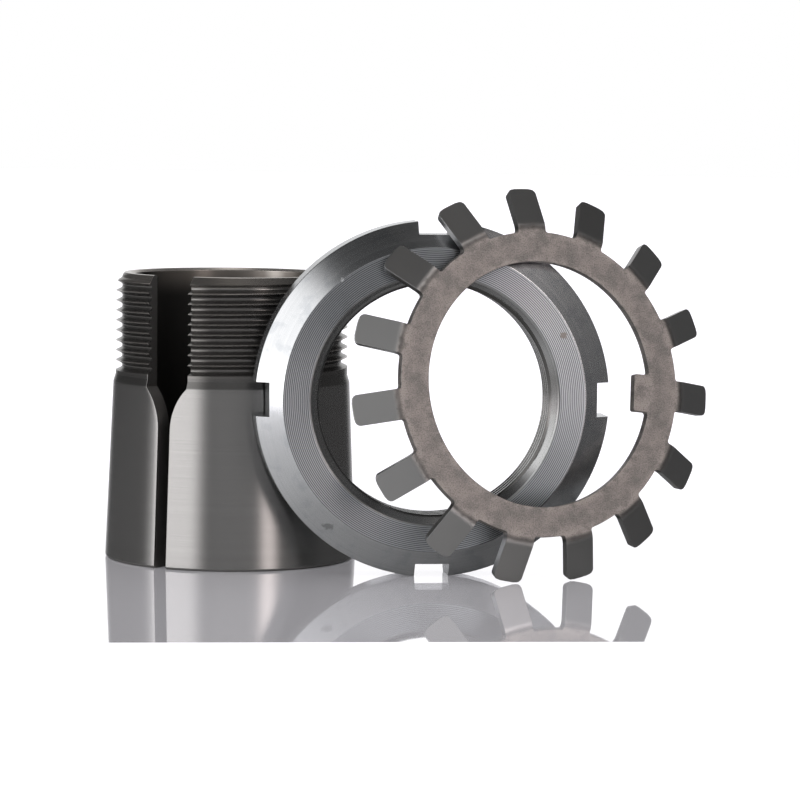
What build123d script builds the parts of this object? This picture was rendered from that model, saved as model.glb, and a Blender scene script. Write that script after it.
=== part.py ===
from build123d import *
from math import ceil, radians, sqrt, tan
import os

# A bearing adapter sleeve with its lock nut and lock washer, taken apart on a table.
# Millimetres, Z up. The origin is on the sleeve's axis at its large end, which stands
# on the table, and the set is seen from the -Y side.

# Sleeve
shaft_dia = 30.0
sleeve_length = 43.0
base_dia = 37.9
taper_ratio = 12.0
taper_length = 26.6
bore_edge = 0.4
base_edge = 0.3
neck_cone = 1.1
rim_width = 1.2
rim_fall = 1.6

# Thread of the sleeve and the nut, 60 degrees, right hand. The nut's bore is plain, at the
# crests of its own thread.
thread_dia = 35.0
thread_pitch = 1.5
thread_length = 14.35
thread_angle = 60.0
thread_end_angle = 100.0
nut_thread_truncation = 0.16

# Slot of the sleeve: a keyway through the threaded end and a slit through the taper
slot_angle = 239.5
keyway_width = 7.0
slit_width = 2.0
throat_length = 6.2

# Lock nut
nut_dia = 52.0
nut_width = 8.0
nut_face_dia = 44.3
nut_face_angle = 30.0
nut_back_edge = 0.6
nut_lead_in = 0.65
nut_slots = 4
nut_slot_width = 5.0
nut_slot_depth = 2.0

# Lock washer
washer_thickness = 1.25
washer_play = 0.3
washer_ring_width = 4.35
tab_count = 15
tab_width = 4.45
tab_length = 6.2
tab_bend = 27.0
tab_bend_radius = 1.5
tab_corner = 0.8
tab_root_length = 0.35
tongue_side_play = 0.75
tongue_shaft_gap = 0.2
tongue_corner = 0.5

# Places on the table: how far the nut and the washer stand to the right, how they are
# turned about Z and leant back, and the gap that is left where one stands against another
nut_aside = 30.64
nut_yaw = 7.4
washer_aside = 15.24
washer_yaw = 24.4
washer_lean = 9.4
leaning_gap = 0.2

os.makedirs("parts", exist_ok=True)

# Sizes of the thread in pitches, as the metric thread has them
nut_depth_pitches = 0.5413
crest_pitches = 1 / 8

# How the cutters are drawn, in pitches: they open as far as this past the crests, and go on
# straight to there
cutter_opening_pitches = 0.06
cutter_end_pitches = 0.5

# How often a leaning piece is moved back towards its neighbour
slide_steps = 12

# Worked-out sizes
bore_radius = shaft_dia / 2
thread_radius = thread_dia / 2
flank = tan(radians(thread_angle / 2))
crest_flat = crest_pitches * thread_pitch
root_radius = thread_radius - (thread_pitch - crest_flat) / 2 / flank
neck_height = taper_length + neck_cone
taper_top_radius = base_dia / 2 - taper_length / (2 * taper_ratio)
rim_radius = bore_radius + rim_width
slot_direction = Vector(1, 0, 0).rotate(Axis.Z, slot_angle)
slot_plane = Plane((0, 0, 0), x_dir=slot_direction.rotate(Axis.Z, 90), z_dir=slot_direction)


def thread_groove(angle, height, turns):
    """A cutter for one stretch of the thread's sharp groove, from this angle and height on."""
    over = thread_radius + cutter_opening_pitches * thread_pitch
    clear = thread_radius + cutter_end_pitches * thread_pitch
    half_mouth = (over - root_radius) * flank
    path = Helix(pitch=thread_pitch, height=thread_pitch * turns, radius=thread_radius)
    path = path.rotate(Axis.Z, angle).translate((0, 0, height))
    start = Plane.XY.rotated((0, 0, angle)).offset(height)
    with BuildPart() as groove:
        with BuildSketch(Plane(start.origin, x_dir=start.x_dir, z_dir=start.y_dir)):
            with BuildLine():
                Polyline(
                    (root_radius, 0),
                    (over, -half_mouth),
                    (clear, -half_mouth),
                    (clear, half_mouth),
                    (over, half_mouth),
                    close=True,
                )
            make_face()
        sweep(path=path, is_frenet=True)
    return groove.part


def standing_plane(across, height, yaw, lean):
    """A plane for a disc on its edge: its normal faces the front, turned about Z and leant back."""
    upright = Plane((across, -2 * nut_dia, height), x_dir=(1, 0, 0), z_dir=(0, -1, 0))
    return upright.rotated((-lean, 0, 0)).rotated((0, 0, yaw))


def slid_back(piece, plane, neighbour):
    """Moves a plane back until the piece that stands on it is a small gap from its neighbour."""
    for step in range(slide_steps):
        room = piece.moved(plane.location).distance_to(neighbour) - leaning_gap
        plane = Plane(plane.origin + Vector(0, room, 0), x_dir=plane.x_dir, z_dir=plane.z_dir)
    return plane


# Grooves of the sleeve's thread. Each turn runs from the slot round to the slot, and a last
# part of a turn runs out on the far side.
slot_turn = ((slot_angle - thread_end_angle) % 360) / 360
runout_height = sleeve_length - thread_length
first_turn_height = runout_height + slot_turn * thread_pitch
sleeve_turns = ceil((sleeve_length + thread_pitch / 2 - first_turn_height) / thread_pitch)
sleeve_grooves = [thread_groove(thread_end_angle, runout_height, slot_turn)]
for turn in range(sleeve_turns):
    height = first_turn_height + turn * thread_pitch
    sleeve_grooves.append(thread_groove(slot_angle, height, 1))

# Sleeve: a turned profile, whose seam the slot takes away, the thread, then the slot
# through one side of the wall
with BuildPart() as sleeve:
    with BuildSketch(Plane.XZ.rotated((0, 0, slot_angle))):
        with BuildLine():
            Polyline(
                (bore_radius, bore_edge),
                (bore_radius + bore_edge, 0),
                (base_dia / 2 - base_edge, 0),
                (base_dia / 2 - base_edge / (2 * taper_ratio), base_edge),
                (taper_top_radius, taper_length),
                (thread_radius, neck_height),
                (thread_radius, sleeve_length - rim_fall),
                (rim_radius, sleeve_length),
                (bore_radius + bore_edge, sleeve_length),
                (bore_radius, sleeve_length - bore_edge),
                close=True,
            )
        make_face()
    revolve(axis=Axis.Z)
    sleeve_blank = sleeve.part
    for groove in sleeve_grooves:
        add(groove, mode=Mode.SUBTRACT)
    with BuildSketch(slot_plane):
        with BuildLine():
            keyway_top = (keyway_width / 2, sleeve_length + keyway_width)
            keyway_end = (keyway_width / 2, taper_length)
            slit_top = (slit_width / 2, taper_length - throat_length)
            slit_foot = (slit_width / 2, -keyway_width)
            Line((0, keyway_top[1]), keyway_top)
            Line(keyway_top, keyway_end)
            TangentArc(slit_top, keyway_end, tangent=(0, 1))
            Line(slit_top, slit_foot)
            Line(slit_foot, (0, slit_foot[1]))
            mirror(about=Plane.YZ)
        make_face()
    extrude(amount=base_dia, mode=Mode.SUBTRACT)

# Lock nut, on its own axis: the front face at the origin, the back at -Z
nut_bore_radius = thread_radius - nut_depth_pitches * thread_pitch + nut_thread_truncation
nut_mouth_radius = thread_radius + nut_lead_in
nut_edge_depth = (nut_dia - nut_face_dia) / 2 * tan(radians(nut_face_angle))
with BuildPart() as turned_nut:
    with BuildSketch(Plane.XZ):
        with BuildLine():
            lead_in = nut_mouth_radius - nut_bore_radius
            Polyline(
                (nut_mouth_radius, 0),
                (nut_face_dia / 2, 0),
                (nut_dia / 2, -nut_edge_depth),
                (nut_dia / 2, nut_back_edge - nut_width),
                (nut_dia / 2 - nut_back_edge, -nut_width),
                (nut_mouth_radius, -nut_width),
                (nut_bore_radius, lead_in - nut_width),
                (nut_bore_radius, -lead_in),
                close=True,
            )
        make_face()
    revolve(axis=Axis.Z)
    with BuildSketch():
        slot_middle = nut_dia / 2 - nut_slot_depth + nut_slot_width / 2
        with PolarLocations(slot_middle, nut_slots, start_angle=270):
            Rectangle(nut_slot_width, nut_slot_width)
    extrude(amount=-nut_width, mode=Mode.SUBTRACT)

# Lock washer, on its own axis: the front face at the origin, the tabs bent back to -Z
washer_bore_radius = thread_radius + washer_play
washer_ring_radius = washer_bore_radius + washer_ring_width
bend_start = washer_ring_radius + tab_root_length
tongue_tip_radius = bore_radius + tongue_shaft_gap
tongue_width = keyway_width - 2 * tongue_side_play
middle = -washer_thickness / 2
bend_middle_radius = tab_bend_radius + washer_thickness / 2
tab_direction = Vector(1, 0, 0).rotate(Axis.Y, tab_bend)
bend_corner = Vector(bend_start + bend_middle_radius * tan(radians(tab_bend / 2)), 0, middle)
tab_tip = bend_corner + tab_direction * tab_length
with BuildPart() as bent_tab:
    with BuildSketch(Plane.XZ):
        with BuildLine():
            FilletPolyline(
                (bend_start - washer_ring_width / 2, middle),
                (bend_corner.X, bend_corner.Z),
                (tab_tip.X, tab_tip.Z),
                radius=bend_middle_radius,
            )
        trace(line_width=washer_thickness)
    extrude(amount=tab_width / 2, both=True)
    tip_corners = faces().sort_by(Axis.X)[-1].edges().sort_by(SortBy.LENGTH)[:2]
    fillet(tip_corners, radius=tab_corner)
with BuildPart() as pressed_washer:
    with BuildSketch():
        Circle(washer_ring_radius)
        Circle(washer_bore_radius, mode=Mode.SUBTRACT)
        tongue_length = washer_bore_radius + washer_ring_width / 2 - tongue_tip_radius
        with Locations((tongue_tip_radius + tongue_length / 2, 0)):
            Rectangle(tongue_length, tongue_width)
        fillet(vertices().filter_by_position(Axis.X, 0, washer_bore_radius), radius=tongue_corner)
        with PolarLocations(0, tab_count):
            with Locations((bend_start - washer_ring_width / 2, 0)):
                Rectangle(washer_ring_width, tab_width)
    extrude(amount=-washer_thickness)
    with PolarLocations(0, tab_count):
        add(bent_tab.part)

# The nut stands upright beside the sleeve on the two edges of its lowest slot
nut_height = sqrt((nut_dia / 2) ** 2 - (nut_slot_width / 2) ** 2)
nut_plane = slid_back(
    turned_nut.part, standing_plane(nut_aside, nut_height, nut_yaw, 0), sleeve_blank
)
with BuildPart() as lock_nut:
    with Locations(nut_plane):
        add(turned_nut.part)

# The washer is turned so that two tabs share the floor, and leans back on the nut
tab_step = 360 / tab_count
washer_turn = (270 / tab_step % 1 - 0.5) * tab_step
washer_plane = standing_plane(nut_aside + washer_aside, 0, washer_yaw, washer_lean)
turned_washer = pressed_washer.part.rotate(Axis.Z, washer_turn)
foot = turned_washer.moved(washer_plane.location).bounding_box().min.Z
washer_plane = standing_plane(nut_aside + washer_aside, -foot, washer_yaw, washer_lean)
washer_plane = slid_back(turned_washer, washer_plane, lock_nut.part)
with BuildPart() as lock_washer:
    with Locations(washer_plane):
        add(turned_washer)

sleeve.part.label = "sleeve"
export_step(sleeve.part, "parts/sleeve.step")

lock_nut.part.label = "lock_nut"
export_step(lock_nut.part, "parts/lock_nut.step")

lock_washer.part.label = "lock_washer"
export_step(lock_washer.part, "parts/lock_washer.step")
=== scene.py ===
"""Dresses the bearing adapter sleeve set: the slotted tapered sleeve, its lock nut on two
edges of a slot, and its tabbed lock washer leaning on the nut, on a glossy white table.
Every piece is drawn in millimetres on its own axis and then put in its place in metres."""

from math import asin, cos, pi, radians, sin, sqrt, tan

import bmesh
import bpy
import numpy as np
from mathutils import Matrix, Vector


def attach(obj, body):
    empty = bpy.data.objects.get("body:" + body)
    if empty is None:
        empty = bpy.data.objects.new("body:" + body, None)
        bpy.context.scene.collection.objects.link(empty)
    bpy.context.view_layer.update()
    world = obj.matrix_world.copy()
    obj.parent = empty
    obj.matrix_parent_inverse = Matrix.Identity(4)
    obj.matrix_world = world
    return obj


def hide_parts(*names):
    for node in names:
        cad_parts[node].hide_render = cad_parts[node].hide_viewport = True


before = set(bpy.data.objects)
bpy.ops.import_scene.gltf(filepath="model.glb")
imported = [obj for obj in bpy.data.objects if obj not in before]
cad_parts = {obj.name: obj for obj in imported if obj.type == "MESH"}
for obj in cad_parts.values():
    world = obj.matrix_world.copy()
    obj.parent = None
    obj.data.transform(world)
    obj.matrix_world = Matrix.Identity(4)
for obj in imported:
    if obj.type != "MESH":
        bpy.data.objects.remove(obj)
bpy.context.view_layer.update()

MM = 0.001

# Sizes of the set, in millimetres. The cone's radius falls by 1 mm over CONE_RUN.
BORE_R = 15.0
BORE_EDGE = 0.4
BASE_R = 18.95
BASE_EDGE = 0.3
CONE_RUN = 24.0
TAPER_TOP = 26.6
NECK = 27.7
RIM_R = 16.2
RIM_FALL = 1.6
SLEEVE_TOP = 43.0
CHAMFER_FOOT = SLEEVE_TOP - RIM_FALL
PITCH = 1.5
CREST_R = 17.5
SLOT_ANGLE = radians(239.5)
THROAT_FOOT = 20.4
KEYWAY_HALF = 3.5
SLIT_HALF = 1.0
NUT_R = 26.0
NUT_FACE_R = 22.15
NUT_BEVEL = radians(30)
NUT_BACK_EDGE = 0.6
NUT_WIDTH = 8.0
NUT_CREST_R = 16.848
NUT_MOUTH_R = 18.15
NUT_SLOT_HALF = 2.5
NUT_SLOT_FLOOR = 24.0
SHEET = 1.25
RING_IN = 17.8
RING_OUT = 22.15
TABS = 15
HALF_SECTOR = pi / TABS
TAB_HALF = 2.225
BEND_START = 22.5
BEND_R = 2.125
BEND = radians(27.0)
BEND_RUN = BEND_R * BEND
TAB_STRAIGHT = 5.69
TAB_TIP_R = 29.0
TONGUE_TIP = 15.2
TONGUE_HALF = 2.75

# Where the nut and the washer stand: origin of the front face, then its own X and Z
NUT_PLACE = ((30.64, -22.343, 25.88), (0.9917, 0.1288, 0.0), (0.1288, -0.9917, 0.0))
WASHER_PLACE = ((45.88, -23.41, 28.591), (0.9107, 0.4131, 0.0), (0.4076, -0.8985, 0.1633))
WASHER_TURN = radians(-6.0)


# Node trees


class Nodes:
    """A node tree with short calls for the nodes that are used here."""

    def __init__(self, tree):
        self.tree = tree
        self.tree.nodes.clear()

    def add(self, kind, values=None, **settings):
        node = self.tree.nodes.new(kind)
        for name, value in settings.items():
            setattr(node, name, value)
        for name, value in (values or {}).items():
            self.put(node.inputs[name], value)
        return node

    def put(self, socket, value):
        if isinstance(value, bpy.types.NodeSocket):
            self.tree.links.new(value, socket)
        else:
            socket.default_value = value

    def math(self, operation, *values, clamp=False):
        node = self.add("ShaderNodeMath", operation=operation, use_clamp=clamp)
        for socket, value in zip(node.inputs, values):
            self.put(socket, value)
        return node.outputs[0]

    def vector(self, operation, *values, scale=None):
        node = self.add("ShaderNodeVectorMath", operation=operation)
        for socket, value in zip(node.inputs, values):
            self.put(socket, value)
        if scale is not None:
            self.put(node.inputs["Scale"], scale)
        return node.outputs["Value" if operation == "LENGTH" else "Vector"]

    def split(self, value):
        return self.add("ShaderNodeSeparateXYZ", {0: value}).outputs

    def join(self, x, y, z):
        return self.add("ShaderNodeCombineXYZ", {0: x, 1: y, 2: z}).outputs[0]

    def radius(self, x, y):
        """The distance from the Z axis."""
        return self.vector("LENGTH", self.join(x, y, 0.0))

    def ramp(self, value, low, high, to_low=0.0, to_high=1.0):
        """A soft step of value from low to high."""
        node = self.add("ShaderNodeMapRange", interpolation_type="SMOOTHSTEP")
        for index, item in enumerate((value, low, high, to_low, to_high)):
            self.put(node.inputs[index], item)
        return node.outputs[0]

    def band(self, value, low, high, soft):
        """1 between low and high, falling to 0 over soft on either side."""
        rise = self.ramp(value, low - soft, low + soft)
        fall = self.ramp(value, high - soft, high + soft, 1.0, 0.0)
        return self.math("MULTIPLY", rise, fall)

    def mix(self, factor, first, second):
        node = self.add("ShaderNodeMix", data_type="RGBA")
        self.put(node.inputs["Factor"], factor)
        self.put(node.inputs["A"], first)
        self.put(node.inputs["B"], second)
        return node.outputs["Result"]

    def noise(self, vector, scale, detail=2.0, roughness=0.5):
        values = {"Vector": vector, "Scale": scale, "Detail": detail, "Roughness": roughness}
        return self.add("ShaderNodeTexNoise", values).outputs[0]


def grey(value, warm=0.0):
    """A grey as RGBA, warmer than neutral by a share of its value."""
    return (value * (1 + warm), value, value * (1 - warm), 1.0)


# Thread cutting

# How far the cutting tool stands back, in millimetres, before the first groove
TOOL_BACK = 3.0


def thread_tree():
    """Geometry Nodes: moves a turned surface's points in or out to a helical thread."""
    tree = bpy.data.node_groups.new("Cut thread", "GeometryNodeTree")
    sockets = {
        "Pitch": PITCH,
        "Groove height": 0.0,
        "First groove": -100.0,
        "Run-out": 0.1,
        "Crest radius": CREST_R,
        "Depth": 0.95,
        "Half opening": 0.735,
        "Flank slope": 2.3,
        "Root rounding": 0.8,
        "Outside": 1.0,
    }
    tree.interface.new_socket("Geometry", in_out="INPUT", socket_type="NodeSocketGeometry")
    for name, value in sockets.items():
        item = tree.interface.new_socket(name, in_out="INPUT", socket_type="NodeSocketFloat")
        item.default_value = value
    tree.interface.new_socket("Material", in_out="INPUT", socket_type="NodeSocketMaterial")
    tree.interface.new_socket("Geometry", in_out="OUTPUT", socket_type="NodeSocketGeometry")
    n = Nodes(tree)
    given = n.add("NodeGroupInput").outputs
    place = n.add("GeometryNodeInputPosition").outputs[0]
    x, y, z = n.split(place)[:3]
    radius = n.radius(x, y)
    turn = n.math("DIVIDE", n.math("ARCTAN2", y, x), 2 * pi)
    rise = n.math("DIVIDE", n.math("SUBTRACT", z, given["Groove height"]), given["Pitch"])
    phase = n.math("ADD", n.math("SUBTRACT", rise, turn), 0.5)
    phase = n.math("SUBTRACT", n.math("FRACT", phase), 0.5)
    aside = n.math("MULTIPLY", phase, given["Pitch"])
    middle = n.math("SUBTRACT", z, aside)
    above = n.math("SUBTRACT", middle, given["First groove"])
    fade = n.math("DIVIDE", above, given["Run-out"], clamp=True)
    opening = n.math("SUBTRACT", given["Half opening"], n.math("ABSOLUTE", aside))
    flank = n.math("MULTIPLY", opening, given["Flank slope"])
    depth = n.math("SMOOTH_MIN", flank, given["Depth"], given["Root rounding"])
    depth = n.math("SMOOTH_MAX", depth, 0.0, 0.05)
    tool_back = n.math("MULTIPLY", n.math("SUBTRACT", 1.0, fade), TOOL_BACK)
    depth = n.math("SUBTRACT", depth, tool_back)
    side = given["Outside"]
    thread = n.math("SUBTRACT", given["Crest radius"], n.math("MULTIPLY", side, depth))
    cut = n.math("MINIMUM", n.math("MULTIPLY", side, radius), n.math("MULTIPLY", side, thread))
    cut = n.math("MULTIPLY", side, cut)
    share = n.math("DIVIDE", cut, radius)
    moved = n.join(n.math("MULTIPLY", x, share), n.math("MULTIPLY", y, share), z)
    shape = n.add("GeometryNodeSetPosition", {"Geometry": given["Geometry"], "Position": moved})
    real = n.add("GeometryNodeRealizeInstances", {"Geometry": shape.outputs[0]})
    painted = n.add(
        "GeometryNodeSetMaterial", {"Geometry": real.outputs[0], "Material": given["Material"]}
    )
    out = n.add("NodeGroupOutput")
    tree.links.new(painted.outputs[0], out.inputs[0])
    return tree


def repeat_tree():
    """Geometry Nodes: repeats one object round the Z axis, with a second one in the first place."""
    tree = bpy.data.node_groups.new("Repeat round the axis", "GeometryNodeTree")
    tree.interface.new_socket("Geometry", in_out="INPUT", socket_type="NodeSocketGeometry")
    kinds = {
        "Piece": "NodeSocketObject",
        "First piece": "NodeSocketObject",
        "Count": "NodeSocketInt",
        "Join within": "NodeSocketFloat",
        "Material": "NodeSocketMaterial",
    }
    for name, kind in kinds.items():
        tree.interface.new_socket(name, in_out="INPUT", socket_type=kind)
    tree.interface.new_socket("Geometry", in_out="OUTPUT", socket_type="NodeSocketGeometry")
    n = Nodes(tree)
    given = n.add("NodeGroupInput").outputs
    line = n.add("GeometryNodeMeshLine", {"Count": given["Count"]})
    line.inputs["Offset"].default_value = (0.0, 0.0, 0.0)
    index = n.add("GeometryNodeInputIndex").outputs[0]
    angle = n.math("DIVIDE", n.math("MULTIPLY", index, 2 * pi), given["Count"])
    first = n.add("FunctionNodeCompare", {2: index, 3: 0}, data_type="INT", operation="EQUAL")
    other = n.add("FunctionNodeBooleanMath", {0: first.outputs[0]}, operation="NOT")
    joined = n.add("GeometryNodeJoinGeometry")
    for name, chosen in (("First piece", first), ("Piece", other)):
        piece = n.add("GeometryNodeObjectInfo", {"Object": given[name]})
        copies = n.add(
            "GeometryNodeInstanceOnPoints",
            {
                "Points": line.outputs[0],
                "Selection": chosen.outputs[0],
                "Instance": piece.outputs["Geometry"],
                "Rotation": n.join(0.0, 0.0, angle),
            },
        )
        tree.links.new(copies.outputs[0], joined.inputs[0])
    real = n.add("GeometryNodeRealizeInstances", {"Geometry": joined.outputs[0]})
    merged = n.add(
        "GeometryNodeMergeByDistance",
        {"Geometry": real.outputs[0], "Distance": given["Join within"]},
    )
    painted = n.add(
        "GeometryNodeSetMaterial", {"Geometry": merged.outputs[0], "Material": given["Material"]}
    )
    out = n.add("NodeGroupOutput")
    tree.links.new(painted.outputs[0], out.inputs[0])
    return tree


# Mesh helpers


def new_object(name, mesh):
    piece = bpy.data.objects.new(name, mesh)
    bpy.context.scene.collection.objects.link(piece)
    return piece


def baked(piece):
    """Turns what the piece's modifiers make into its plain mesh."""
    graph = bpy.context.evaluated_depsgraph_get()
    graph.update()
    mesh = bpy.data.meshes.new_from_object(piece.evaluated_get(graph))
    piece.modifiers.clear()
    piece.data = mesh
    return mesh


def run_tree(piece, tree, **values):
    """Runs a Geometry Nodes tree on the piece, with its inputs named in plain words."""
    modifier = piece.modifiers.new(tree.name, "NODES")
    modifier.node_group = tree
    for item in tree.interface.items_tree:
        if item.in_out == "INPUT" and item.name in values:
            modifier[item.identifier] = values[item.name]
    return baked(piece)


def mesh_points(mesh):
    """Places of the mesh's points, one to a row."""
    places = np.zeros(len(mesh.vertices) * 3, np.float32)
    mesh.vertices.foreach_get("co", places)
    return places.reshape(-1, 3)


def arc_corner(before, corner, after, size, steps=5):
    """Points of a curve in place of a corner: it is round where two runs meet squarely."""
    corner = np.array(corner, float)
    back = np.array(before, float) - corner
    ahead = np.array(after, float) - corner
    start = corner + back / np.linalg.norm(back) * size
    end = corner + ahead / np.linalg.norm(ahead) * size
    out = []
    for share in np.linspace(0, 1, steps + 1):
        a, b, c = (1 - share) ** 2, sqrt(2) * share * (1 - share), share**2
        out.append(tuple((a * start + b * corner + c * end) / (a + b + c)))
    return out


def corner_eased(points, size):
    """A profile with each inner corner replaced by a small curve."""
    out = [points[0]]
    for before, corner, after in zip(points, points[1:], points[2:]):
        out += arc_corner(before, corner, after, size, steps=2)
    return out + [points[-1]]


def thread_rows(first, turns, low, high):
    """Heights of a thread's rows between low and high. A groove passes the height first where
    turns, the share of a turn at each column, is 0."""
    rows = []
    lowest = int((low - PITCH - first) // PITCH)
    highest = int((high - first) // PITCH) + 1
    for groove in range(lowest, highest + 1):
        for distance in THREAD_ROWS:
            row = first + groove * PITCH + distance + PITCH * turns
            if row.max() >= low and row.min() <= high:
                rows.append(np.clip(row, low, high))
    return rows


def row_arrays(rows, count):
    """Radii and heights of a turned surface, from rows that each have a radius and a height."""
    radii = np.array([np.broadcast_to(radius, count) for radius, height in rows])
    heights = np.array([np.broadcast_to(height, count) for radius, height in rows])
    return radii, heights


def ring_faces(grid):
    """Faces between the rows of a turned surface, with the last row joined to the first."""
    after = np.roll(grid, -1, axis=0)
    faces = np.stack((grid[:, :-1], grid[:, 1:], after[:, 1:], after[:, :-1]), axis=-1)
    return faces.reshape(-1, 4)


def round_points(radii, heights, angles):
    """Places of a turned surface's points."""
    return np.stack([radii * np.cos(angles), radii * np.sin(angles), heights], -1)


def break_edges(bm, edges, size, segments):
    """Rounds the edges a little."""
    bmesh.ops.bevel(
        bm,
        geom=edges,
        offset=size,
        offset_type="OFFSET",
        segments=segments,
        profile=0.5,
        affect="EDGES",
        clamp_overlap=True,
    )


def weld(bm, distance):
    bmesh.ops.remove_doubles(bm, verts=bm.verts[:], dist=distance)
    bmesh.ops.dissolve_degenerate(bm, dist=distance / 4, edges=bm.edges[:])
    loose = [vert for vert in bm.verts if not vert.link_faces]
    bmesh.ops.delete(bm, geom=loose, context="VERTS")
    bmesh.ops.recalc_face_normals(bm, faces=bm.faces[:])


# Millimetres of a piece over the whole width of its turning map
MAP_WIDTH = 60.0


def turning_map(mesh):
    """UV across the turning marks and round the axis, for highlights that stretch over them."""
    layer = mesh.uv_layers.new(name="turning")
    corners = mesh_points(mesh).astype(float)
    angle = np.arctan2(corners[:, 1], corners[:, 0])
    radius = np.hypot(corners[:, 0], corners[:, 1])
    data = np.zeros((len(mesh.loops), 2), np.float32)
    for face in mesh.polygons:
        centre = face.center
        middle = np.arctan2(centre[1], centre[0])
        rows = [mesh.loops[i].vertex_index for i in face.loop_indices]
        along = radius[rows] if abs(face.normal[2]) > 0.75 else corners[rows, 2]
        swing = (angle[rows] - middle + pi) % (2 * pi) - pi + middle
        data[list(face.loop_indices), 0] = along / MAP_WIDTH
        data[list(face.loop_indices), 1] = swing / (2 * pi)
    layer.data.foreach_set("uv", data.ravel())


def finish_surface(piece, sharp):
    """Smooth shading with crisp edges over a given angle, in degrees."""
    mesh = piece.data
    mesh.shade_smooth()
    mesh.set_sharp_from_angle(angle=radians(sharp))
    modifier = piece.modifiers.new("Weighted normals", "WEIGHTED_NORMAL")
    modifier.keep_sharp = True
    baked(piece)


def keep_own_place(mesh):
    """Stores each point's place on the piece's own axes, for its materials."""
    layer = mesh.attributes.new("own_place", "FLOAT_VECTOR", "POINT")
    layer.data.foreach_set("vector", mesh_points(mesh).ravel())


def put_in_place(mesh, origin=(0, 0, 0), x_dir=(1, 0, 0), z_dir=(0, 0, 1), turn=0.0):
    """Moves a mesh from its own axes to its place on the table, in metres."""
    x_axis = Vector(x_dir).normalized()
    z_axis = Vector(z_dir).normalized()
    y_axis = z_axis.cross(x_axis)
    x_axis = y_axis.cross(z_axis)
    axes = Matrix((x_axis, y_axis, z_axis)).transposed().to_4x4()
    place = Matrix.Translation(Vector(origin)) @ axes @ Matrix.Rotation(turn, 4, "Z")
    mesh.transform(Matrix.Scale(MM, 4) @ place)


# Sleeve

# Distances of the thread's rows from the middle of a groove, in millimetres
HALF_ROWS = (0.1, 0.2, 0.31, 0.43, 0.56, 0.67, 0.725)
THREAD_ROWS = [-distance for distance in reversed(HALF_ROWS)] + [0.0, *HALF_ROWS, PITCH / 2]

# Height of a groove where the angle is 0, the thread's lowest and highest row, its first groove
GROOVE_HEIGHT = 26.7333
THREAD_FOOT = NECK + 0.08
THREAD_TOP = SLEEVE_TOP - 0.2
FIRST_GROOVE = 28.62

# How far the slot's edges are broken, and the columns there by their distance from its wall
EDGE = 0.13
EDGE_STEPS = (0.0, 0.3 * EDGE)

SLEEVE_COLUMNS = 200
THROAT_ROWS = 22


def slot_half(z):
    """Half the slot's width at a height: the slit, the arc of the throat, the keyway."""
    wide = KEYWAY_HALF - SLIT_HALF
    deep = TAPER_TOP - THROAT_FOOT
    arc = (wide**2 + deep**2) / (2 * wide)
    climb = np.clip(z - THROAT_FOOT, 0, deep)
    half = SLIT_HALF + arc - np.sqrt(arc**2 - climb**2)
    return np.where(z > TAPER_TOP + 0.001, KEYWAY_HALF, half)


def sleeve_angle(radius, z, share, aside):
    """The angle of a point by its share of the way round from one side of the slot."""
    edge = np.arcsin(slot_half(z) / radius)
    first = edge + EDGE / radius
    inner = first + share * (2 * pi - 2 * first)
    turn = np.where(share < 0, edge + aside / radius, inner)
    turn = np.where(share > 1, 2 * pi - edge - aside / radius, turn)
    return SLOT_ANGLE + turn


def slot_wall(bm, outside, inside):
    """Closes one side of the slot, from the edge of the outer surface, going up, to the edge of
    the bore, going down: flat at the keyway and the slit, in strips along the curved throat."""
    slack = 0.001
    outer_foot = sum(vert.co.z < THROAT_FOOT - slack for vert in outside)
    outer_top = sum(vert.co.z < TAPER_TOP - slack for vert in outside)
    inner_top = sum(vert.co.z > TAPER_TOP + slack for vert in inside)
    inner_foot = sum(vert.co.z > THROAT_FOOT + slack for vert in inside)
    bm.faces.new(outside[outer_top:] + inside[: inner_top + 1])
    bm.faces.new(inside[inner_foot:] + outside[: outer_foot + 1])
    outer_strip = outside[outer_foot : outer_top + 1]
    inner_strip = inside[inner_top : inner_foot + 1][::-1]
    assert len(outer_strip) == len(inner_strip)
    for step in range(len(outer_strip) - 1):
        low, high = step, step + 1
        bm.faces.new((outer_strip[low], outer_strip[high], inner_strip[high], inner_strip[low]))


def cone_radius(z):
    return BASE_R - z / CONE_RUN


def upper_radius(z):
    """Radius of the turned sleeve from the cone's top to the rim, before the thread is cut."""
    slope = (CREST_R - RIM_R) / RIM_FALL
    outline = (
        (TAPER_TOP, cone_radius(TAPER_TOP)),
        (NECK, CREST_R),
        (CHAMFER_FOOT - 0.06, CREST_R),
        (CHAMFER_FOOT, CREST_R - 0.025),
        (CHAMFER_FOOT + 0.1, CREST_R - 0.1 * slope),
        (SLEEVE_TOP, RIM_R),
    )
    return np.interp(z, *zip(*outline))


def sleeve_columns():
    """For each column its share of the way round, under 0 and over 1 at the slot's two edges, its
    distance from the slot's wall there, and how far the broken edge lies inside the surface."""
    share = np.array([-1.0] * 2 + list(np.linspace(0, 1, SLEEVE_COLUMNS)) + [2.0] * 2)
    aside = np.array([*EDGE_STEPS] + [0.0] * SLEEVE_COLUMNS + [*EDGE_STEPS[::-1]])
    ease = np.zeros(len(share))
    for index, distance in enumerate(EDGE_STEPS):
        ease[index] = ease[-1 - index] = EDGE - sqrt(EDGE**2 - (EDGE - distance) ** 2)
    return share, aside, ease


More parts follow.
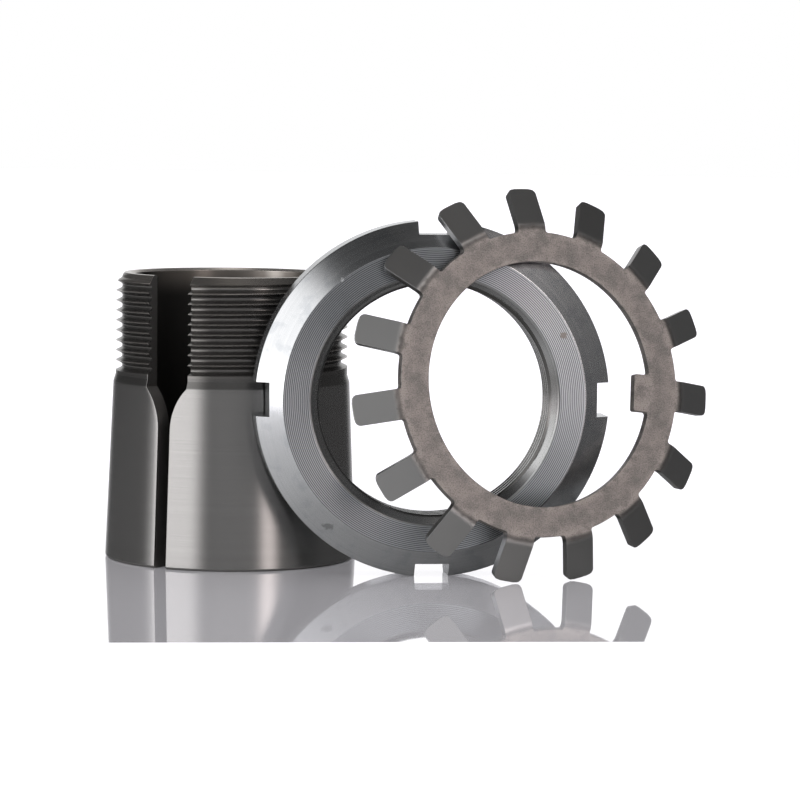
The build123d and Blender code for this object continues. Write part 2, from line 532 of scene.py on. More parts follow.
def outer_rows(turns):
    """Rows of the sleeve's outside, going up, with the rows of its thread climbing."""
    foot = [(BORE_R, 0.0), (BASE_R - BASE_EDGE, 0.0), (cone_radius(BASE_EDGE), BASE_EDGE)]
    foot += [(cone_radius(TAPER_TOP), TAPER_TOP)]
    rows = [(BORE_R + BORE_EDGE, 0.0)] + corner_eased(foot, 0.09)[1:-1]
    cone = [*np.linspace(1.5, 18.0, 5), *np.linspace(THROAT_FOOT, TAPER_TOP, THROAT_ROWS)]
    rows += [(cone_radius(z), z) for z in cone]
    first = GROOVE_HEIGHT + PITCH * SLOT_ANGLE / (2 * pi)
    upper = [TAPER_TOP + 0.1, NECK - 0.05, NECK + 0.03]
    upper += thread_rows(first, turns, THREAD_FOOT, THREAD_TOP)
    rows += [(upper_radius(z), z) for z in upper]
    for out, down in ((0.062, 0.07), (0.01, 0.015), (-0.07, 0.0)):
        rows.append((RIM_R + out, SLEEVE_TOP - down))
    return rows


def bore_rows():
    """Rows of the sleeve's bore, going down."""
    mouth = [(BORE_R + 1, SLEEVE_TOP), (BORE_R + BORE_EDGE, SLEEVE_TOP)]
    mouth += [(BORE_R, SLEEVE_TOP - BORE_EDGE), (BORE_R, TAPER_TOP + 0.1)]
    rows = corner_eased(mouth, 0.08)[1:]
    rows += [(BORE_R, z) for z in np.linspace(TAPER_TOP, THROAT_FOOT, THROAT_ROWS)]
    return rows + [(BORE_R, 10.0), (BORE_R, 0.45), (BORE_R + 0.03, 0.37)]


def close_slot(mesh, grid, outer_count):
    """Builds the slot's two walls between the outer surface and the bore."""
    bm = bmesh.new()
    bm.from_mesh(mesh)
    bm.verts.ensure_lookup_table()
    for column in (0, -1):
        outside = [bm.verts[i] for i in grid[:outer_count, column]]
        inside = [bm.verts[i] for i in grid[outer_count:, column]]
        slot_wall(bm, outside, inside)
    weld(bm, 0.004)
    walls = [face for face in bm.faces if len(face.verts) > 8]
    bmesh.ops.triangulate(bm, faces=walls, ngon_method="EAR_CLIP")
    bmesh.ops.recalc_face_normals(bm, faces=bm.faces[:])
    bm.to_mesh(mesh)
    bm.free()


def mark_bore(mesh):
    """Gives the bore and the slot's walls the second material."""
    along = Vector((cos(SLOT_ANGLE), sin(SLOT_ANGLE), 0.0))
    across = Vector((-sin(SLOT_ANGLE), cos(SLOT_ANGLE), 0.0))
    for face in mesh.polygons:
        centre = face.center
        beside = abs(abs(centre.dot(across)) - float(slot_half(centre.z)))
        in_slot = beside < 0.012 and centre.dot(along) > BORE_R - 1
        in_bore = centre.xy.length < BORE_R + 0.01 and centre.z < SLEEVE_TOP - 0.3
        face.material_index = 1 if in_slot or in_bore else 0


def make_sleeve():
    """The sleeve: turned, threaded, slotted and standing at the origin."""
    share, aside, ease = sleeve_columns()
    guide = sleeve_angle(CREST_R, SLEEVE_TOP, share, aside)
    outer = outer_rows((guide - SLOT_ANGLE) / (2 * pi))
    outer_count = len(outer)
    radii, heights = row_arrays(outer + bore_rows(), len(share))
    radii[2:outer_count] -= ease
    grid = np.arange(radii.size).reshape(radii.shape)
    points = round_points(radii, heights, sleeve_angle(radii, heights, share, aside))
    mesh = bpy.data.meshes.new("sleeve")
    mesh.from_pydata(points.reshape(-1, 3), [], ring_faces(grid).tolist())
    piece = new_object("sleeve_turned", mesh)
    mesh = run_tree(
        piece,
        thread,
        **{
            "Groove height": GROOVE_HEIGHT,
            "First groove": FIRST_GROOVE,
            "Run-out": 0.14,
            "Material": sleeve_steel,
        },
    )
    cut = mesh_points(mesh)
    radii = np.hypot(cut[:, 0], cut[:, 1]).reshape(radii.shape)
    points = round_points(radii, heights, sleeve_angle(radii, heights, share, aside))
    mesh.vertices.foreach_set("co", points.astype(np.float32).ravel())
    close_slot(mesh, grid, outer_count)
    mesh.materials.append(bore_steel)
    mark_bore(mesh)
    finish_surface(piece, 38)
    turning_map(piece.data)
    keep_own_place(piece.data)
    put_in_place(piece.data)
    return piece


# Lock nut

# Height of a groove below the nut's front face where the angle is 0, and how far the rows of
# the thread stay from the two faces, in millimetres
NUT_GROOVE = -8.75
NUT_EDGE = 0.16

# The rounded mouth of the nut's bore: distance behind a face, and radius outside the lead-in
MOUTH = ((0.0, 0.11), (0.03, 0.01), (0.1, -0.1))

# How near a point must be to a slot's wall or floor to lie on it, and the size of its broken edge
SLOT_SLACK = 0.01
SLOT_BREAK = 0.16

NUT_COLUMNS = 192


def on_bevel(radius):
    """Radius and height of a point on the nut's bevel."""
    return radius, (NUT_FACE_R - radius) * tan(NUT_BEVEL)


def nut_bore_radius(z):
    """Radius of the nut's bore at a height, before its thread: it opens towards both faces."""
    depths = [depth for depth, out in MOUTH] + [NUT_MOUTH_R - NUT_CREST_R]
    radii = [NUT_MOUTH_R + out for depth, out in MOUTH] + [NUT_CREST_R]
    return np.interp(np.minimum(-z, z + NUT_WIDTH), depths, radii)


def nut_rows(turns):
    """Rows of the nut: the front face, the outside, going down, the back face and the bore,
    going up, with the rows of its thread climbing."""
    near_bore = NUT_MOUTH_R + 0.45
    outside = [
        (near_bore, 0.0),
        (NUT_FACE_R, 0.0),
        on_bevel(NUT_R),
        (NUT_R, NUT_BACK_EDGE - NUT_WIDTH),
        (NUT_R - NUT_BACK_EDGE, -NUT_WIDTH),
        (near_bore, -NUT_WIDTH),
    ]
    outside = corner_eased(outside, 0.1)
    outside.insert(4, on_bevel(NUT_SLOT_FLOOR))
    depths = [depth for depth, out in MOUTH] + [NUT_EDGE]
    bore = [depth - NUT_WIDTH for depth in depths]
    bore += thread_rows(NUT_GROOVE, turns, NUT_EDGE - NUT_WIDTH, -NUT_EDGE)
    bore += [-depth for depth in reversed(depths[1:])]
    return [(nut_bore_radius(0.0), 0.0)] + outside + [(nut_bore_radius(z), z) for z in bore]


def cut_slots(piece):
    """Cuts the nut's four slots with blocks that reach out past its rim."""
    cutter_mesh = bpy.data.meshes.new("slot_cutter")
    bm = bmesh.new()
    bmesh.ops.create_cube(bm, size=1.0)
    reach = 5.0
    for vert in bm.verts:
        vert.co.x = NUT_SLOT_FLOOR + (vert.co.x + 0.5) * reach
        vert.co.y *= 2 * NUT_SLOT_HALF
        vert.co.z = vert.co.z * 2 * NUT_WIDTH - NUT_WIDTH / 2
    bm.to_mesh(cutter_mesh)
    bm.free()
    cutter = new_object("slot_cutter", cutter_mesh)
    cutters = new_object("slot_cutters", bpy.data.meshes.new("slot_cutters"))
    run_tree(
        cutters,
        repeat,
        **{
            "Piece": cutter,
            "First piece": cutter,
            "Count": 4,
            "Join within": 0.0001,
            "Material": nut_steel,
        },
    )
    boolean = piece.modifiers.new("Slots", "BOOLEAN")
    boolean.operation = "DIFFERENCE"
    boolean.solver = "EXACT"
    boolean.object = cutters
    baked(piece)
    bpy.data.objects.remove(cutters)
    bpy.data.objects.remove(cutter)


def on_slot(place):
    """True for a point on a wall or the floor of one of the nut's slots."""
    near, far = sorted((abs(place.x), abs(place.y)))
    if far < NUT_SLOT_FLOOR - SLOT_SLACK:
        return False
    return abs(near - NUT_SLOT_HALF) < SLOT_SLACK or abs(far - NUT_SLOT_FLOOR) < SLOT_SLACK


def break_slot_edges(mesh):
    """Joins what the cut left loose and rounds the slots' crisp edges a little."""
    bm = bmesh.new()
    bm.from_mesh(mesh)
    weld(bm, 0.002)
    broken = []
    for edge in bm.edges:
        if len(edge.link_faces) != 2 or edge.calc_face_angle(0) < radians(20):
            continue
        if all(on_slot(vert.co) for vert in edge.verts):
            broken.append(edge)
    break_edges(bm, broken, SLOT_BREAK, 2)
    bmesh.ops.recalc_face_normals(bm, faces=bm.faces[:])
    bm.to_mesh(mesh)
    bm.free()


def make_nut():
    """The lock nut: turned, threaded, slotted and put on two edges of a slot."""
    angles = np.linspace(0, 2 * pi, NUT_COLUMNS + 1)
    radii, heights = row_arrays(nut_rows(angles / (2 * pi)), len(angles))
    grid = np.arange(radii.size).reshape(radii.shape)
    faces = ring_faces(grid)[:, (0, 3, 2, 1)]
    mesh = bpy.data.meshes.new("lock_nut")
    mesh.from_pydata(round_points(radii, heights, angles).reshape(-1, 3), [], faces.tolist())
    piece = new_object("lock_nut_turned", mesh)
    mesh = run_tree(
        piece,
        thread,
        **{
            "Groove height": NUT_GROOVE,
            "Crest radius": NUT_CREST_R,
            "Depth": 0.702,
            "Half opening": 0.499,
            "Flank slope": tan(radians(60)),
            "Root rounding": 0.12,
            "Outside": -1.0,
            "Material": nut_steel,
        },
    )
    bm = bmesh.new()
    bm.from_mesh(mesh)
    weld(bm, 0.004)
    bm.to_mesh(mesh)
    bm.free()
    cut_slots(piece)
    break_slot_edges(piece.data)
    finish_surface(piece, 32)
    turning_map(piece.data)
    keep_own_place(piece.data)
    put_in_place(piece.data, *NUT_PLACE)
    return piece


# Lock washer

# Sizes of the rounded corners of the washer's outline, in millimetres
TAB_ROOT_ROUND = 0.35
TAB_TIP_ROUND = 0.85
TONGUE_ROOT_ROUND = 0.5
TONGUE_TIP_ROUND = 0.35

# Number of strips in the bend of a tab
BEND_STRIPS = 6


def ring_arc(radius, start, end, count):
    """Points on an arc round the axis."""
    return [(radius * cos(a), radius * sin(a)) for a in np.linspace(start, end, count)]


def tab_outline():
    """Outer edge of a flat sector, from one side to the other, with its tab."""
    tip = BEND_START + BEND_RUN + TAB_STRAIGHT
    root = sqrt(RING_OUT**2 - TAB_HALF**2)
    root_angle = asin(TAB_HALF / RING_OUT)
    beside = (RING_OUT * cos(root_angle + 0.02), RING_OUT * sin(root_angle + 0.02))
    side = tip - (TAB_TIP_R - sqrt(TAB_TIP_R**2 - TAB_HALF**2))
    outer = ring_arc(RING_OUT, HALF_SECTOR, root_angle + 0.035, 6)
    outer += arc_corner(beside, (root, TAB_HALF), (root + 1, TAB_HALF), TAB_ROOT_ROUND)
    outer += arc_corner((root, TAB_HALF), (side, TAB_HALF), (side, 0), TAB_TIP_ROUND, 7)
    for y in (1.1, 0.55, 0.0):
        outer.append((tip - (TAB_TIP_R - sqrt(TAB_TIP_R**2 - y**2)), y))
    return outer + [(x, -y) for x, y in outer[-2::-1]]


def inner_outline(with_tongue):
    """Inner edge of a flat sector, with or without the tongue."""
    if not with_tongue:
        return ring_arc(RING_IN, HALF_SECTOR, -HALF_SECTOR, 13)
    foot_angle = asin(TONGUE_HALF / RING_IN)
    foot = (RING_IN * cos(foot_angle), TONGUE_HALF)
    near = (RING_IN * cos(foot_angle + 0.02), RING_IN * sin(foot_angle + 0.02))
    inner = ring_arc(RING_IN, HALF_SECTOR, foot_angle + 0.032, 3)
    inner += arc_corner(near, foot, (TONGUE_TIP, TONGUE_HALF), TONGUE_ROOT_ROUND)
    inner += arc_corner(foot, (TONGUE_TIP, TONGUE_HALF), (TONGUE_TIP, 0), TONGUE_TIP_ROUND)
    inner += [(TONGUE_TIP, 0.0)]
    return inner + [(x, -y) for x, y in inner[-2::-1]]


def flat_sheet(outline):
    """A flat sheet with the given outline, left open where it joins the next sectors."""
    bm = bmesh.new()
    face = bm.faces.new([bm.verts.new((x, y, 0.0)) for x, y in outline])
    face.normal_update()
    if face.normal.z < 0:
        face.normal_flip()
    made = bmesh.ops.extrude_face_region(bm, geom=[face])
    low = [item for item in made["geom"] if isinstance(item, bmesh.types.BMVert)]
    bmesh.ops.translate(bm, verts=low, vec=(0, 0, -SHEET))
    bmesh.ops.recalc_face_normals(bm, faces=bm.faces[:])
    ends = []
    for face in bm.faces:
        angles = [abs(np.arctan2(vert.co.y, vert.co.x)) for vert in face.verts]
        if min(angles) > HALF_SECTOR - 1e-4 and abs(face.normal.z) < 0.5:
            ends.append(face)
    bmesh.ops.delete(bm, geom=ends, context="FACES_ONLY")
    return bm


def bend_tab(bm):
    """Cuts the tab into strips at its root and bends it back there."""
    for step in range(BEND_STRIPS + 1):
        everything = bm.verts[:] + bm.edges[:] + bm.faces[:]
        place = BEND_START + BEND_RUN * step / BEND_STRIPS
        bmesh.ops.bisect_plane(bm, geom=everything, plane_co=(place, 0, 0), plane_no=(1, 0, 0))
    middle = -SHEET / 2
    for vert in bm.verts:
        run = vert.co.x - BEND_START
        if run <= 0:
            continue
        angle = min(run / BEND_R, BEND)
        rest = max(run - BEND_RUN, 0.0)
        lift = vert.co.z - middle
        vert.co.x = BEND_START + (BEND_R + lift) * sin(angle) + rest * cos(BEND)
        vert.co.z = middle - BEND_R + (BEND_R + lift) * cos(angle) - rest * sin(BEND)


def washer_sector(name, with_tongue):
    """One sector of the pressed sheet, with its tab bent back."""
    bm = flat_sheet(tab_outline() + inner_outline(with_tongue)[::-1])
    bend_tab(bm)
    mesh = bpy.data.meshes.new(name)
    bm.to_mesh(mesh)
    bm.free()
    return new_object(name, mesh)


def sheet_edges(bm):
    """The crisp edges round the washer's front and those round its back."""
    front, back = [], []
    for edge in bm.edges:
        if len(edge.link_faces) != 2 or edge.calc_face_angle(0) < radians(50):
            continue
        a, b = edge.verts
        if abs((a.co - b.co).normalized().z) > 0.9:
            continue
        centre = (a.co + b.co) / 2
        beyond = sqrt(centre.x**2 + centre.y**2) - BEND_START
        middle = -SHEET / 2
        if beyond > 1:
            middle -= (beyond - 0.55) * tan(BEND)
        (front if centre.z > middle else back).append(edge)
    return front, back


def make_washer():
    """The lock washer: a sector with the tongue and plain ones, leaning on the nut."""
    plain = washer_sector("tab_sector", False)
    tongue = washer_sector("tongue_sector", True)
    piece = new_object("lock_washer_pressed", bpy.data.meshes.new("lock_washer"))
    mesh = run_tree(
        piece,
        repeat,
        **{
            "Piece": plain,
            "First piece": tongue,
            "Count": TABS,
            "Join within": 0.01,
            "Material": washer_steel,
        },
    )
    bpy.data.objects.remove(plain)
    bpy.data.objects.remove(tongue)
    bm = bmesh.new()
    bm.from_mesh(mesh)
    weld(bm, 0.004)
    front, back = sheet_edges(bm)
    for edges, size, count in ((front, 0.12, 2), (back, 0.06, 1)):
        break_edges(bm, [edge for edge in edges if edge.is_valid], size, count)
    bmesh.ops.recalc_face_normals(bm, faces=bm.faces[:])
    bm.to_mesh(mesh)
    bm.free()
    mesh.materials.clear()
    mesh.materials.append(washer_steel)
    finish_surface(piece, 40)
    keep_own_place(piece.data)
    put_in_place(piece.data, *WASHER_PLACE, turn=WASHER_TURN)
    return piece


# Materials

# How far the turning tool moved on each turn over the nut's face, in millimetres
FEED = 0.27

# Turning marks in a millimetre of the sleeve's outside, and of its bore and the nut
FINE_MARKS = 15.0
COARSE_MARKS = 5.0

# Height where the painted shade of the thread's grooves begins, in millimetres
THREAD_START = 28.2


def metal(name, colour, roughness, bump, distance, anisotropy=0.0, edge=1.0, bare=1.0):
    """A metal. colour, roughness and bump are functions of the nodes and own place, distance is
    the bump's height in metres, edge is how much of a glancing reflection is left, and bare is
    the share without a dull film."""
    material = bpy.data.materials.new(name)
    material.use_nodes = True
    n = Nodes(material.node_tree)
    place = n.add("ShaderNodeAttribute", attribute_name="own_place").outputs["Vector"]
    shader = n.add("ShaderNodeBsdfPrincipled")
    shader.inputs["Metallic"].default_value = bare
    shader.inputs["Specular Tint"].default_value = (edge, edge, edge, 1.0)
    n.put(shader.inputs["Base Color"], colour(n, place))
    n.put(shader.inputs["Roughness"], roughness(n, place))
    height = bump(n, place)
    relief = n.add("ShaderNodeBump", {"Height": height, "Distance": distance, "Strength": 1.0})
    n.put(shader.inputs["Normal"], relief.outputs[0])
    if anisotropy:
        shader.inputs["Anisotropic"].default_value = anisotropy
        tangent = n.add("ShaderNodeTangent", direction_type="UV_MAP", uv_map="turning")
        n.put(shader.inputs["Tangent"], tangent.outputs[0])
    out = n.add("ShaderNodeOutputMaterial")
    n.put(out.inputs["Surface"], shader.outputs[0])
    return material


def turned(n, place, along, round_about=0.15):
    """Own place drawn out round the axis: fine across the turning marks, long round them."""
    x, y, z = n.split(place)[:3]
    radius = n.radius(x, y)
    turn = n.math("ARCTAN2", y, x)
    across = n.math("MULTIPLY", radius, along)
    height = n.math("MULTIPLY", z, along)
    return n.join(across, height, n.math("MULTIPLY", turn, round_about))


def sleeve_colour(n, place):
    """Dark steel, with painted shade on the shoulder from the cone's top to the neck and down the
    thread's grooves, and painted highlights on its crests and rim.
    """
    marks = n.noise(turned(n, place, FINE_MARKS), 1.0, detail=2.0)
    x, y, z = n.split(place)[:3]
    radius = n.radius(x, y)
    plain = n.mix(n.ramp(marks, 0.3, 0.7), grey(0.21, 0.012), grey(0.238, 0.012))
    # Painted shade: the shoulder from the cone's top to the neck is darker.
    cone = n.band(z, TAPER_TOP + 0.1, THREAD_START + 0.35, 0.15)
    plain = n.mix(cone, plain, grey(0.115, 0.02))
    # Painted shade down the thread, darkening its grooves.
    threaded = n.band(z, THREAD_START, CHAMFER_FOOT - 0.1, 0.15)
    plain = n.mix(threaded, plain, grey(0.135, 0.03))
    # Painted highlight along the thread's crests.
    on_crest = n.ramp(radius, CREST_R - 0.35, CREST_R - 0.12)
    ridges = n.band(z, THREAD_START + 1, CHAMFER_FOOT - 0.2, 0.2)
    crest = n.math("MULTIPLY", on_crest, ridges)
    plain = n.mix(crest, plain, grey(0.45, 0.04))
    chamfer = n.ramp(z, CHAMFER_FOOT - 0.05, CHAMFER_FOOT + 0.05)
    plain = n.mix(chamfer, plain, grey(0.22, 0.06))
    # Painted highlight on the flat top rim.
    above = n.ramp(z, SLEEVE_TOP - 0.5, SLEEVE_TOP - 0.4)
    rim = n.math("MULTIPLY", above, n.ramp(radius, RIM_R + 0.1, RIM_R))
    return n.mix(rim, plain, (0.6, 0.57, 0.54, 1.0))


def sleeve_roughness(n, place):
    marks = n.noise(turned(n, place, FINE_MARKS, 0.1), 1.0, detail=2.0)
    return n.ramp(marks, 0.2, 0.8, 0.25, 0.27)


def sleeve_marks(n, place):
    return n.noise(turned(n, place, FINE_MARKS, 0.15), 1.0, detail=2.0, roughness=0.6)


def bore_colour(n, place):
    """Painted shade, nearly black, down the bore; painted light on brownish steel just below the rim on
    its far side, with a narrow painted highlight band; grey slot walls.
    """
    x, y, z = n.split(place)[:3]
    radius = n.radius(x, y)
    # Painted light just below the rim on the bore's far side, where y is over 6 mm.
    below_rim = n.ramp(z, SLEEVE_TOP - 4.5, SLEEVE_TOP - 0.2)
    top = n.math("MULTIPLY", below_rim, n.ramp(y, 6.0, 12.0))
    # A narrow painted highlight band across that lit part.
    painted_highlight_band = n.band(x, 4.9, 6.9, 0.9)
    bare = n.mix(painted_highlight_band, (0.285, 0.259, 0.236, 1.0), (0.62, 0.578, 0.54, 1.0))
    # Painted shade, nearly black, down the rest of the bore.
    bore = n.mix(top, grey(0.05, 0.03), bare)
    return n.mix(n.ramp(radius, BORE_R + 0.1, BORE_R + 0.3), bore, grey(0.2, 0.03))


def bore_roughness(n, place):
    return n.ramp(n.noise(turned(n, place, COARSE_MARKS), 1.0), 0.2, 0.8, 0.34, 0.42)


def nut_grooves(n, place):
    """Feed marks of the tool: 1 on the ridges and 0 in the grooves, on the flat face alone."""
    x, y, z = n.split(place)[:3]
    radius = n.radius(x, y)
    wave = n.math("SINE", n.math("MULTIPLY", radius, 2 * pi / FEED))
    wave = n.math("MULTIPLY_ADD", wave, 0.5, 0.5)
    within = n.ramp(radius, NUT_FACE_R, NUT_FACE_R - 0.1)
    face = n.math("MULTIPLY", within, n.ramp(z, -0.3, -0.05))
    return n.math("MULTIPLY", wave, face), face


# Small marks on the nut: middle and reach on its own axes, in millimetres, and colour
NUT_SPOTS = (
    ((18.7, 9.5, 0.0), (0.6, 0.6, 1.0), (0.29, 0.265, 0.25, 1.0)),
    ((-15.4, -18.4, -1.1), (1.0, 0.6, 1.0), (0.3, 0.305, 0.315, 1.0)),
    ((-13.75, 17.5, -0.1), (0.3, 0.45, 0.6), (0.85, 0.86, 0.88, 1.0)),
)


def spot(n, place, centre, size):
    """1 inside an uneven spot round centre, falling to 0 at its reach."""
    apart = n.vector("DIVIDE", n.vector("SUBTRACT", place, centre), size)
    uneven = n.math("MULTIPLY", n.math("SUBTRACT", n.noise(place, 2.5, detail=3.0), 0.5), 1.6)
    return n.ramp(n.math("ADD", n.vector("LENGTH", apart), uneven), 1.0, 0.55)


def nut_colour(n, place):
    wave, face = nut_grooves(n, place)
    marks = n.noise(turned(n, place, COARSE_MARKS), 1.0, detail=2.0)
    plain = n.mix(n.ramp(marks, 0.3, 0.7), (0.47, 0.48, 0.495, 1.0), (0.51, 0.52, 0.535, 1.0))
    x, y, z = n.split(place)[:3]
    stain = n.math("MULTIPLY", n.ramp(n.noise(place, 0.45, detail=5.0), 0.5, 0.68), 0.28)
    plain = n.mix(stain, plain, (0.27, 0.295, 0.325, 1.0))
    grooved = n.mix(n.ramp(wave, 0.1, 0.9), (0.17, 0.178, 0.19, 1.0), (0.54, 0.558, 0.585, 1.0))
    # Painted light: the grooved face is darker on its left and brighter on its right.
    painted_side_light = n.ramp(x, -16.0, 16.0, 0.84, 1.2)
    grooved = n.vector("SCALE", grooved, scale=painted_side_light)
    radius = n.radius(x, y)
    # Painted shade in the roots of the nut's thread.
    in_root = n.ramp(radius, NUT_CREST_R + 0.012, NUT_CREST_R + 0.092)
    roots = n.math("MULTIPLY", in_root, n.ramp(z, -0.95, -1.2))
    # Painted shade: the bore is darker on its right side, near y 0.
    shaded_bore_side = n.math("MULTIPLY", n.band(y, -2.5, 5.0, 2.5), n.ramp(x, 0.0, 5.0))
    bore = n.mix(shaded_bore_side, grey(0.42, -0.01), grey(0.22, 0.01))
    bore = n.mix(roots, bore, grey(0.1, 0.02))
    front = n.mix(face, plain, grooved)
    for centre, size, colour in NUT_SPOTS:
        front = n.mix(spot(n, place, centre, size), front, colour)
    in_bore = n.ramp(radius, NUT_MOUTH_R + 0.2, NUT_MOUTH_R + 0.05)
    return n.mix(in_bore, front, bore)


def nut_roughness(n, place):
    marks = n.noise(turned(n, place, COARSE_MARKS), 1.0, detail=2.0)
    face = nut_grooves(n, place)[1]
    return n.math("ADD", n.ramp(marks, 0.2, 0.8, 0.215, 0.235), n.math("MULTIPLY", face, 0.06))


def nut_marks(n, place):
    """Fine feed marks on the flat face and faint turning marks elsewhere."""
    wave, face = nut_grooves(n, place)
    rough = n.noise(turned(n, place, COARSE_MARKS, 0.2), 1.0, detail=2.0)
    return n.math("ADD", n.math("MULTIPLY", wave, 2.4), n.math("MULTIPLY", rough, 0.25))


def tab_share(n, place):
    """0 on the washer's ring and 1 on its tabs, with an uneven border."""
    x, y = n.split(place)[:2]
    radius = n.radius(x, y)
    uneven = n.math("MULTIPLY", n.math("SUBTRACT", n.noise(place, 1.6, detail=3.0), 0.5), 1.4)
    return n.ramp(n.math("ADD", radius, uneven), 22.4, 23.4)


def washer_colour(n, place):
    """Speckled warm grey on the ring, paler in patches at its rims, plain grey tabs, and painted shade
    along the bend at each tab's root.
    """
    x, y = n.split(place)[:2]
    radius = n.radius(x, y)
    blotch = n.noise(place, 0.4, detail=5.0, roughness=0.65)
    speck = n.noise(place, 5.2, detail=2.0, roughness=0.6)
    rims = n.math("ADD", n.ramp(radius, 18.9, 18.0), n.ramp(radius, 21.0, 22.0))
    pale = n.math("MULTIPLY", rims, n.ramp(blotch, 0.42, 0.58))
    base = n.mix(n.ramp(blotch, 0.3, 0.7), (0.24, 0.232, 0.225, 1.0), (0.39, 0.355, 0.34, 1.0))
    base = n.mix(n.math("MULTIPLY", pale, 0.8), base, (0.44, 0.405, 0.39, 1.0))
    base = n.mix(n.ramp(speck, 0.51, 0.64, 0.0, 0.5), base, (0.14, 0.132, 0.13, 1.0))
    base = n.mix(n.ramp(speck, 0.47, 0.36, 0.0, 0.45), base, (0.42, 0.395, 0.385, 1.0))
    whole = n.mix(tab_share(n, place), base, grey(0.36))
    # Painted shade across the bend of each tab.
    bend = n.band(radius, BEND_START, BEND_START + 0.65, 0.3)
    return n.mix(n.math("MULTIPLY", bend, 0.8), whole, grey(0.09, 0.02))


def washer_roughness(n, place):
    return n.ramp(tab_share(n, place), 0.0, 1.0, 0.5, 0.33)


def washer_grain(n, place):
    grain = n.noise(place, 4.0, detail=4.0, roughness=0.65)
    return n.math("MULTIPLY", grain, n.ramp(tab_share(n, place), 0.0, 1.0, 1.0, 0.15))


sleeve_steel = metal(
    "dark ground steel",
    sleeve_colour,
    sleeve_roughness,
    sleeve_marks,
    distance=0.0000018,
    anisotropy=0.6,
    edge=0.65,
    bare=0.88,
)
bore_steel = metal(
    "bored steel with painted shade and highlight",
    bore_colour,
    bore_roughness,
    sleeve_marks,
    distance=0.000003,
    anisotropy=0.8,
    edge=0.5,
    bare=0.85,
)
nut_steel = metal(
    "bright turned steel",
    nut_colour,
    nut_roughness,
    nut_marks,
    distance=0.000005,
    anisotropy=0.78,
)
washer_steel = metal(
    "pressed sheet steel",
    washer_colour,
    washer_roughness,
    washer_grain,
    distance=0.00003,
)
thread = thread_tree()
repeat = repeat_tree()
sleeve = make_sleeve()
lock_nut = make_nut()
lock_washer = make_washer()

for piece, node in ((sleeve, "sleeve"), (lock_nut, "lock_nut"), (lock_washer, "lock_washer")):
    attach(piece, "root")
    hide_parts(node)


# Table, world, camera


# The mirror in the table, in metres: its middle, and where it starts to fade and is gone
MIRROR_MIDDLE = (0.028, -0.03, 0.0)
MIRROR_FADE = 0.085
MIRROR_END = 0.16

# The line in front of the set where the mirror stops, level in the photograph: its slope over
# the table, and the depths, where x is 0, between which the mirror comes in
LINE_SLOPE = 0.0871
LINE_START = -0.0846
LINE_FULL = -0.084

# The camera: place in metres, lens in millimetres, and how far it looks down and rolls
CAMERA_PLACE = (0.02552, -0.50839, 0.06795)
CAMERA_LENS = 151.635
CAMERA_PITCH = radians(4.943)
CAMERA_ROLL = radians(0.695)


def make_floor():
    """A white glossy table that mirrors the set in front of it."""
    mesh = bpy.data.meshes.new("table")
    reach = 3.0
    corners = [(-reach, -reach, 0), (reach, -reach, 0), (reach, reach, 0), (-reach, reach, 0)]
    mesh.from_pydata(corners, [], [(0, 1, 2, 3)])
    floor = new_object("table", mesh)
    material = bpy.data.materials.new("glossy white table")
    material.use_nodes = True
    n = Nodes(material.node_tree)
    place = n.add("ShaderNodeTexCoord").outputs["Object"]
    x, y = n.split(place)[:2]
    away = n.vector("SUBTRACT", n.join(x, y, 0.0), MIRROR_MIDDLE)
    near = n.ramp(n.vector("LENGTH", away), MIRROR_END, MIRROR_FADE)
    line = n.math("SUBTRACT", y, n.math("MULTIPLY", x, LINE_SLOPE))
    shown = n.math("MULTIPLY", n.ramp(line, LINE_START, LINE_FULL), near)
    rays = n.add("ShaderNodeLightPath").outputs
    mirrored = rays["Is Glossy Ray"]
    shade = n.ramp(x, 0.0, 0.08, 0.66, 0.12)
    under = n.mix(mirrored, (0.94, 0.93, 0.98, 1.0), n.join(shade, shade, shade))
    matte = n.add("ShaderNodeBsdfDiffuse", {"Color": under})
    lift = n.math("MULTIPLY", rays["Is Camera Ray"], 0.35)
    glow = n.add("ShaderNodeEmission", {"Color": (0.96, 0.94, 1.0, 1.0), "Strength": lift})
    white = n.add("ShaderNodeAddShader")
    n.put(white.inputs[0], matte.outputs[0])
    n.put(white.inputs[1], glow.outputs[0])
    gloss = n.add("ShaderNodeBsdfGlossy", {"Color": (0.985, 0.98, 1.0, 1.0), "Roughness": 0.03})
    facing = n.add("ShaderNodeFresnel", {"IOR": 1.45}).outputs[0]
    seen_share = n.math("MULTIPLY", shown, n.math("SUBTRACT", 0.76, n.math("MULTIPLY", mirrored, 0.76)))
    metal_share = n.math("MULTIPLY", n.math("MULTIPLY", facing, 1.4, clamp=True), mirrored)
    share = n.math("ADD", seen_share, metal_share, clamp=True)
    both = n.add("ShaderNodeMixShader", {"Fac": share})
    n.put(both.inputs[1], white.outputs[0])
    n.put(both.inputs[2], gloss.outputs[0])
    out = n.add("ShaderNodeOutputMaterial")
    n.put(out.inputs["Surface"], both.outputs[0])
    mesh.materials.append(material)


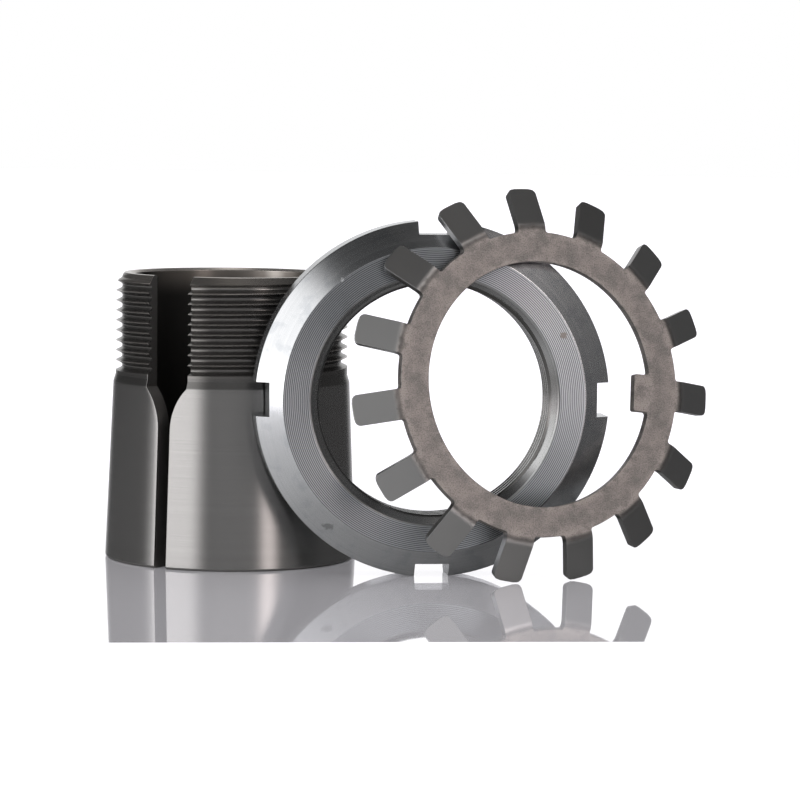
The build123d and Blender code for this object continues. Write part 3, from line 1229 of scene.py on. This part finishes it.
def make_world():
    """White where it is seen or lights matte things, and a studio with soft lamps to metal."""
    world = bpy.data.worlds.new("studio")
    bpy.context.scene.world = world
    world.use_nodes = True
    n = Nodes(world.node_tree)
    x, y, z = n.split(n.add("ShaderNodeTexCoord").outputs["Generated"])[:3]
    degrees = 180 / pi
    azimuth = n.math("MULTIPLY", n.math("ARCTAN2", x, n.math("MULTIPLY", y, -1.0)), degrees)
    height = n.math("MULTIPLY", n.math("ARCSINE", z), degrees)

    def lamp(light, low, high, soft, bottom, top, colour, rise=8.0):
        """Adds a soft lamp between two azimuths and two heights, in degrees. Azimuth 0 is the
        viewer's side and 90 the right."""
        across = n.band(azimuth, low, high, soft)
        shape = n.math("MULTIPLY", across, n.band(height, bottom, top, rise))
        return n.vector("ADD", light, n.vector("SCALE", colour, scale=shape))

    # The dim room, a grey wall in front, and on the left a low bright strip and a large lamp
    light = n.vector("SCALE", (0.12, 0.12, 0.12), scale=n.ramp(height, 36, 50, 1.0, 0.35))
    light = lamp(light, -20, 42, 14, -1, 38, (0.375, 0.375, 0.375))
    light = lamp(light, -70, -25, 8, -1, 5, (3.6, 3.5, 3.44), rise=4.0)
    light = lamp(light, -77, -29, 7, -1, 38, (2.05, 2.03, 2.01))

    # A narrow warm lamp on the right, two faint ones beside and above it, and the ceiling
    light = lamp(light, 32, 45, 5, -1, 38, (4.1, 3.7, 3.55))
    light = lamp(light, 50, 68, 8, -1, 40, (0.25, 0.24, 0.235))
    light = lamp(light, 25, 110, 20, 54, 95, (0.13, 0.13, 0.13))
    light = lamp(light, -180, 180, 1, 79, 95, (0.7, 0.66, 0.62), rise=5.0)

    # The white wall behind the set
    behind = n.ramp(n.math("ABSOLUTE", azimuth), 150, 168)
    light = n.vector("ADD", light, n.vector("SCALE", (1.0, 1.0, 1.0), scale=behind))
    seen = n.add("ShaderNodeLightPath").outputs
    plain = n.math("MAXIMUM", seen["Is Camera Ray"], seen["Is Diffuse Ray"])
    colour = n.mix(plain, light, (1.0, 1.0, 1.0, 1.0))
    glow = n.add("ShaderNodeBackground", {"Color": colour, "Strength": 1.0})
    out = n.add("ShaderNodeOutputWorld")
    n.put(out.inputs["Surface"], glow.outputs[0])


def make_camera():
    """The photograph's camera, looking along Y."""
    pitch, roll = CAMERA_PITCH, CAMERA_ROLL
    forward = Vector((0, cos(pitch), -sin(pitch)))
    up = Vector((0, sin(pitch), cos(pitch)))
    right = Vector((1, 0, 0))
    rolled_right = right * cos(roll) + up * sin(roll)
    rolled_up = up * cos(roll) - right * sin(roll)
    lens = bpy.data.cameras.new("camera")
    lens.sensor_width = 36.0
    lens.lens = CAMERA_LENS
    lens.clip_start = 0.01
    camera = bpy.data.objects.new("camera", lens)
    bpy.context.scene.collection.objects.link(camera)
    axes = Matrix((rolled_right, rolled_up, -forward)).transposed().to_4x4()
    camera.matrix_world = Matrix.Translation(CAMERA_PLACE) @ axes
    bpy.context.scene.camera = camera


make_floor()
make_world()
make_camera()
bpy.context.scene.view_settings.view_transform = "Standard"
